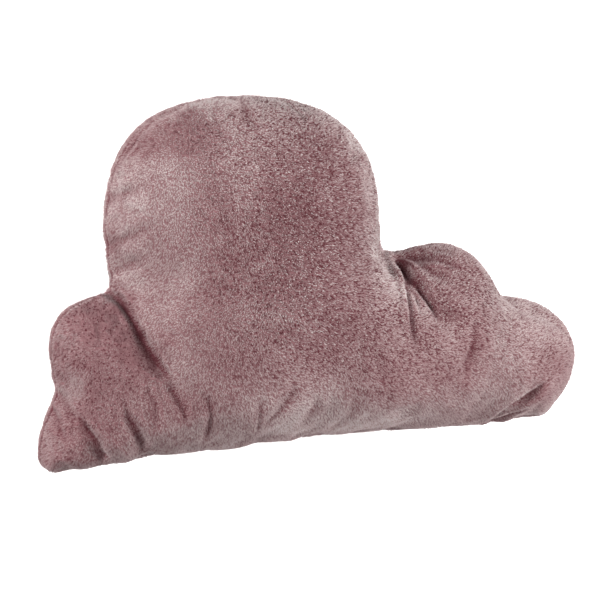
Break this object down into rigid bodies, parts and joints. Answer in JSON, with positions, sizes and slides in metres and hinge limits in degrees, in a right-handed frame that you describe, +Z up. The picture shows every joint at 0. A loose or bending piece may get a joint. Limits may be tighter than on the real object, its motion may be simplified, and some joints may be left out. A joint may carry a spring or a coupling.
{
  "type": "cloud cushion",
  "caption": "Plush cushion in the outline of a cloud, two filled panels with one plain seam, lying on its back.",
  "frame": {"origin": "middle of the footprint, on the surface that the cushion lies on", "axes": "+X along the straight base, left to right as the front is seen; +Y from the base to the top of the dome; +Z up, out of the front panel"},
  "size_m": [0.5046, 0.3026, 0.1457],
  "materials": {
    "plush": "short dusty mauve pile, matt with a soft sheen"
  },
  "bodies": {
    "root": {"cushion": "plush"}
  },
  "joints": []
}
